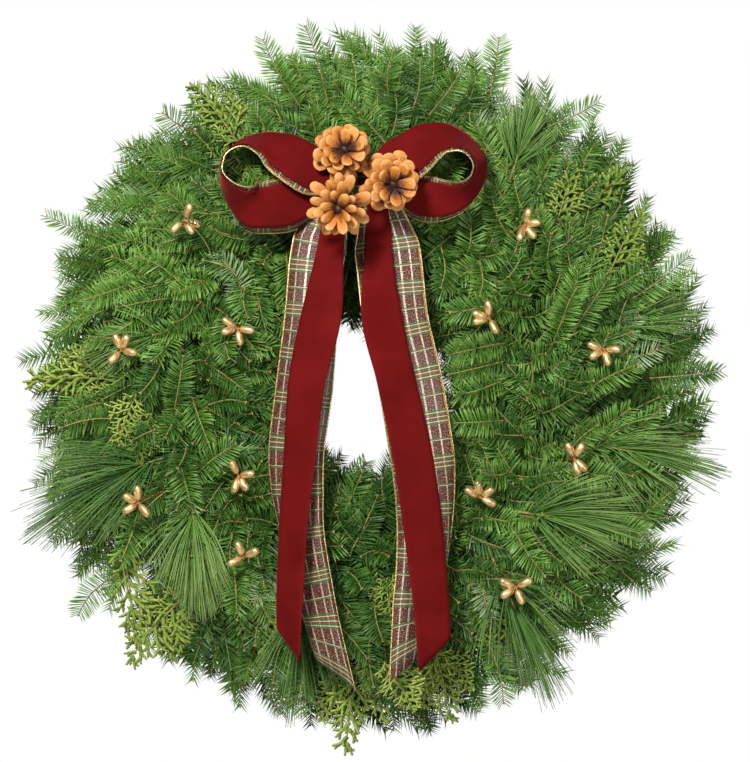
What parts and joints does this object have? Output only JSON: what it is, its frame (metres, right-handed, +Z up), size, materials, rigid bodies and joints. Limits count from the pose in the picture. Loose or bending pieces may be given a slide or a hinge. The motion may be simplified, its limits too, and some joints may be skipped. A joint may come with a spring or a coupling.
{
  "type": "fresh evergreen wreath",
  "caption": "Fresh mixed evergreen wreath on a wire ring, with fir twigs, pine tufts, cedar fronds, gilded berry picks, pine cones and a velvet and plaid ribbon bow.",
  "frame": {"origin": "the inner side of the top of the wire ring, where a hook or nail carries it", "axes": "+Z up as it hangs, +X to the right seen from the front, -Y out of the front, towards the viewer"},
  "size_m": [0.617, 0.1869, 0.6181],
  "materials": {
    "ring_wire": "dull drawn wire",
    "binding_wire": "green enamelled florist's wire",
    "tie_wire": "green enamelled florist's wire",
    "fir": "waxy deep green needles on tan twigs",
    "pine": "soft mid green long needles",
    "cedar": "matt yellow green scale leaves",
    "gilt": "champagne gold pips on copper coloured wire",
    "cone": "varnished tan brown cone scales",
    "velvet": "crimson velvet ribbon",
    "plaid": "sheer metallic plaid ribbon with gold wired edges"
  },
  "bodies": {
    "root": {"berry_pick_1": "gilt", "berry_pick_10": "gilt", "berry_pick_11": "gilt", "berry_pick_12": "gilt", "berry_pick_2": "gilt", "berry_pick_3": "gilt", "berry_pick_4": "gilt", "berry_pick_5": "gilt", "berry_pick_6": "gilt", "berry_pick_7": "gilt", "berry_pick_8": "gilt", "berry_pick_9": "gilt", "binding_wire": "binding_wire", "bow_wire": "tie_wire", "cedar_frond_1": "cedar", "cedar_frond_2": "cedar", "cedar_frond_3": "cedar", "cedar_frond_4": "cedar", "cedar_frond_5": "cedar", "cedar_frond_6": "cedar", "cedar_frond_7": "cedar", "cedar_frond_8": "cedar", "cedar_frond_9": "cedar", "cone_low": "cone", "cone_right": "cone", "cone_top": "cone", "fir_bunch_1": "fir", "fir_bunch_10": "fir", "fir_bunch_11": "fir", "fir_bunch_12": "fir", "fir_bunch_2": "fir", "fir_bunch_3": "fir", "fir_bunch_4": "fir", "fir_bunch_5": "fir", "fir_bunch_6": "fir", "fir_bunch_7": "fir", "fir_bunch_8": "fir", "fir_bunch_9": "fir", "pine_tuft_1": "pine", "pine_tuft_2": "pine", "pine_tuft_3": "pine", "pine_tuft_4": "pine", "pine_tuft_5": "pine", "pine_tuft_6": "pine", "pine_tuft_7": "pine", "pine_tuft_8": "pine", "pine_tuft_9": "pine", "plaid_loops": "plaid", "plaid_tails": "plaid", "velvet_loops": "velvet", "velvet_tails": "velvet", "wire_ring": "ring_wire"}
  },
  "joints": []
}
